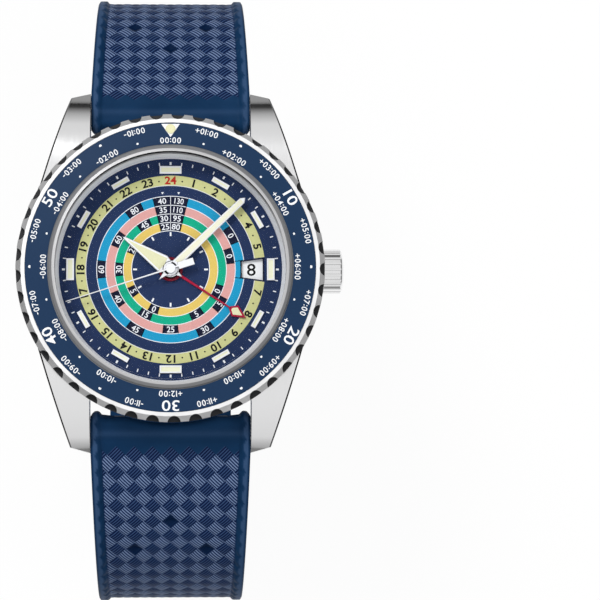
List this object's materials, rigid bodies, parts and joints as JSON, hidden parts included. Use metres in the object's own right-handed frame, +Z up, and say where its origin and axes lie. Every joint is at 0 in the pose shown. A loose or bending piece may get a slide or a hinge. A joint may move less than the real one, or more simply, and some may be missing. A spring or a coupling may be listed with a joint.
{
  "type": "world time wristwatch",
  "caption": "Steel wristwatch with a turning world-time bezel, coloured ring dial, date window, 24-hour hand and a moulded two-piece strap with a pin buckle.",
  "frame": {"origin": "middle of the case back's flat face, which lies on the wrist", "axes": "+Z up out of the dial, +Y towards 12 o'clock, +X towards the crown at 3 o'clock"},
  "size_m": [0.0433, 0.0836, 0.0617],
  "materials": {
    "steel": "brushed and polished",
    "movement_brass": "plated",
    "spring_steel": "hardened",
    "sapphire": "clear",
    "ruby": "polished",
    "gasket_rubber": "matt",
    "insert_blue": "anodised blue with white printing",
    "dial_blue": "navy lacquer with coloured rings",
    "lume": "luminous paint",
    "bright_steel": "polished",
    "red_hand": "gloss",
    "date_white": "matt",
    "holder": "matt",
    "strap_rubber": "matt, moulded diamonds"
  },
  "bodies": {
    "watch_head": {"mid_case": "steel", "case_back": "steel", "case_back_gasket": "gasket_rubber", "crown_tube": "steel", "crystal": "sapphire", "crystal_gasket": "gasket_rubber", "flange_ring": "steel", "bezel_spring": "spring_steel", "dial": "dial_blue", "hour_markers": "bright_steel", "marker_lume": "lume", "movement_ring": "holder", "casing_clamps": "spring_steel", "clamp_screws": "spring_steel", "mainplate": "movement_brass", "barrel_bridge": "movement_brass", "train_bridge": "movement_brass", "balance_bridge": "movement_brass", "bridge_screws": "spring_steel", "jewels": "ruby", "rotor_bearing": "spring_steel", "spring_bar_12": "steel", "spring_bar_6": "steel"},
    "bezel": {"bezel_ring": "steel", "bezel_insert": "insert_blue", "bezel_pip": "lume"},
    "crown_shell": {"crown_gasket": "gasket_rubber"},
    "crown_stem": {"crown": "steel", "winding_stem": "spring_steel", "clutch_pinion": "spring_steel"},
    "crown_wheel": {"crown_wheel": "spring_steel"},
    "barrel_arbor": {"ratchet_wheel": "spring_steel"},
    "barrel_drum": {"barrel": "movement_brass", "mainspring": "spring_steel"},
    "minute_arbor": {"centre_wheel": "movement_brass", "cannon_pinion": "movement_brass", "minute_hand": "bright_steel"},
    "third_arbor": {"third_wheel": "movement_brass"},
    "seconds_arbor": {"fourth_wheel": "movement_brass", "seconds_hand": "bright_steel"},
    "escape_arbor": {"escape_wheel": "movement_brass"},
    "pallet_arbor": {"pallet_fork": "spring_steel"},
    "balance_staff": {"balance_wheel": "movement_brass", "balance_spring": "spring_steel"},
    "minute_wheel": {"minute_wheel": "movement_brass"},
    "hour_pipe": {"hour_wheel": "movement_brass", "hour_hand": "bright_steel"},
    "gmt_idler": {"gmt_idler": "movement_brass"},
    "gmt_pipe": {"gmt_wheel": "movement_brass", "gmt_hand": "red_hand"},
    "date_ring": {"date_disc": "date_white"},
    "winding_rotor": {"rotor": "movement_brass"},
    "strap_12": {"strap_12": "strap_rubber", "fixed_keeper": "strap_rubber"},
    "strap_6": {"strap_6": "strap_rubber"},
    "buckle": {"buckle_bar": "steel", "buckle_frame": "steel"},
    "tongue": {"buckle_tongue": "steel"},
    "keeper": {"sliding_keeper": "strap_rubber"}
  },
  "joints": [
    {"name": "bezel_turn", "type": "hinge", "parent": "watch_head", "child": "bezel", "pos_m": [0, 0, 0.0095], "axis": [0, 0, -1], "continuous": true},
    {"name": "crown_pull", "type": "slide", "parent": "watch_head", "child": "crown_shell", "axis": [1, 0, 0], "range_m": [0, 0.0009]},
    {"name": "crown_turn", "type": "hinge", "parent": "crown_shell", "child": "crown_stem", "pos_m": [0.02, 0, 0.00455], "axis": [1, 0, 0], "continuous": true},
    {"name": "crown_wheel_turn", "type": "hinge", "parent": "watch_head", "child": "crown_wheel", "pos_m": [0.0072, 0.00452, 0.0031], "axis": [0, 0, -1], "continuous": true},
    {"name": "barrel_arbor_turn", "type": "hinge", "parent": "watch_head", "child": "barrel_arbor", "pos_m": [-0.00111, 0.0063, 0.0046], "axis": [0, 0, -1], "continuous": true},
    {"name": "minute_turn", "type": "hinge", "parent": "watch_head", "child": "minute_arbor", "pos_m": [0, 0, 0.0062], "axis": [0, 0, -1], "continuous": true},
    {"name": "barrel_turn", "type": "hinge", "parent": "watch_head", "child": "barrel_drum", "pos_m": [-0.00111, 0.0063, 0.0046], "axis": [0, 0, -1], "continuous": true},
    {"name": "third_turn", "type": "hinge", "parent": "watch_head", "child": "third_arbor", "pos_m": [-0.00067, -0.00379, 0.0046], "axis": [0, 0, -1], "continuous": true},
    {"name": "seconds_turn", "type": "hinge", "parent": "watch_head", "child": "seconds_arbor", "pos_m": [0, 0, 0.0062], "axis": [0, 0, -1], "continuous": true},
    {"name": "escape_turn", "type": "hinge", "parent": "watch_head", "child": "escape_arbor", "pos_m": [0.00357, -0.0013, 0.0046], "axis": [0, 0, -1], "continuous": true},
    {"name": "pallet_swing", "type": "hinge", "parent": "watch_head", "child": "pallet_arbor", "pos_m": [0.00537, -0.0031, 0.0046], "axis": [0, 0, -1], "range_deg": [-5, 5]},
    {"name": "balance_swing", "type": "hinge", "parent": "watch_head", "child": "balance_staff", "pos_m": [0.00746, -0.00519, 0.0046], "axis": [0, 0, -1], "range_deg": [-270, 270], "stiffness_Nm_per_rad": 0.0000004, "deforming": ["balance_spring"]},
    {"name": "minute_wheel_turn", "type": "hinge", "parent": "watch_head", "child": "minute_wheel", "pos_m": [0.0012, -0.00208, 0.0063], "axis": [0, 0, -1], "continuous": true},
    {"name": "hour_turn", "type": "hinge", "parent": "watch_head", "child": "hour_pipe", "pos_m": [0, 0, 0.0062], "axis": [0, 0, -1], "continuous": true},
    {"name": "gmt_idler_turn", "type": "hinge", "parent": "watch_head", "child": "gmt_idler", "pos_m": [-0.00163, 0.00163, 0.0066], "axis": [0, 0, -1], "continuous": true},
    {"name": "gmt_turn", "type": "hinge", "parent": "watch_head", "child": "gmt_pipe", "pos_m": [0, 0, 0.0062], "axis": [0, 0, -1], "continuous": true},
    {"name": "date_turn", "type": "hinge", "parent": "watch_head", "child": "date_ring", "pos_m": [0, 0, 0.0066], "axis": [0, 0, -1], "continuous": true},
    {"name": "rotor_turn", "type": "hinge", "parent": "watch_head", "child": "winding_rotor", "pos_m": [0, 0, 0.0022], "axis": [0, 0, -1], "continuous": true},
    {"name": "strap_12_pivot", "type": "hinge", "parent": "watch_head", "child": "strap_12", "pos_m": [0, 0.02198, 0.0025], "axis": [1, 0, 0], "range_deg": [-30, 30]},
    {"name": "strap_6_pivot", "type": "hinge", "parent": "watch_head", "child": "strap_6", "pos_m": [0, -0.02198, 0.0025], "axis": [-1, 0, 0], "range_deg": [0, 30]},
    {"name": "buckle_pivot", "type": "hinge", "parent": "strap_12", "child": "buckle", "pos_m": [0, 0.00235, -0.03209], "axis": [-1, 0, 0], "range_deg": [-10, 60]},
    {"name": "tongue_pivot", "type": "hinge", "parent": "buckle", "child": "tongue", "pos_m": [0, 0.00235, -0.03209], "axis": [1, 0, 0], "range_deg": [0, 60]},
    {"name": "keeper_slide", "type": "slide", "parent": "strap_12", "child": "keeper", "axis": [0, 1, 0], "range_m": [-0.0022, 0.0036]}
  ],
  "couplings": [
    {"joint": "hour_turn", "follows": "minute_turn", "ratio": 0.083333},
    {"joint": "minute_wheel_turn", "follows": "minute_turn", "ratio": -0.33333},
    {"joint": "gmt_idler_turn", "follows": "minute_turn", "ratio": -0.083333},
    {"joint": "gmt_turn", "follows": "minute_turn", "ratio": 0.041667},
    {"joint": "barrel_turn", "follows": "minute_turn", "ratio": -0.16667},
    {"joint": "third_turn", "follows": "minute_turn", "ratio": -8},
    {"joint": "seconds_turn", "follows": "minute_turn", "ratio": 60},
    {"joint": "escape_turn", "follows": "minute_turn", "ratio": -540},
    {"joint": "crown_wheel_turn", "follows": "crown_turn", "ratio": 0.51613},
    {"joint": "barrel_arbor_turn", "follows": "crown_turn", "ratio": -0.2963}
  ]
}
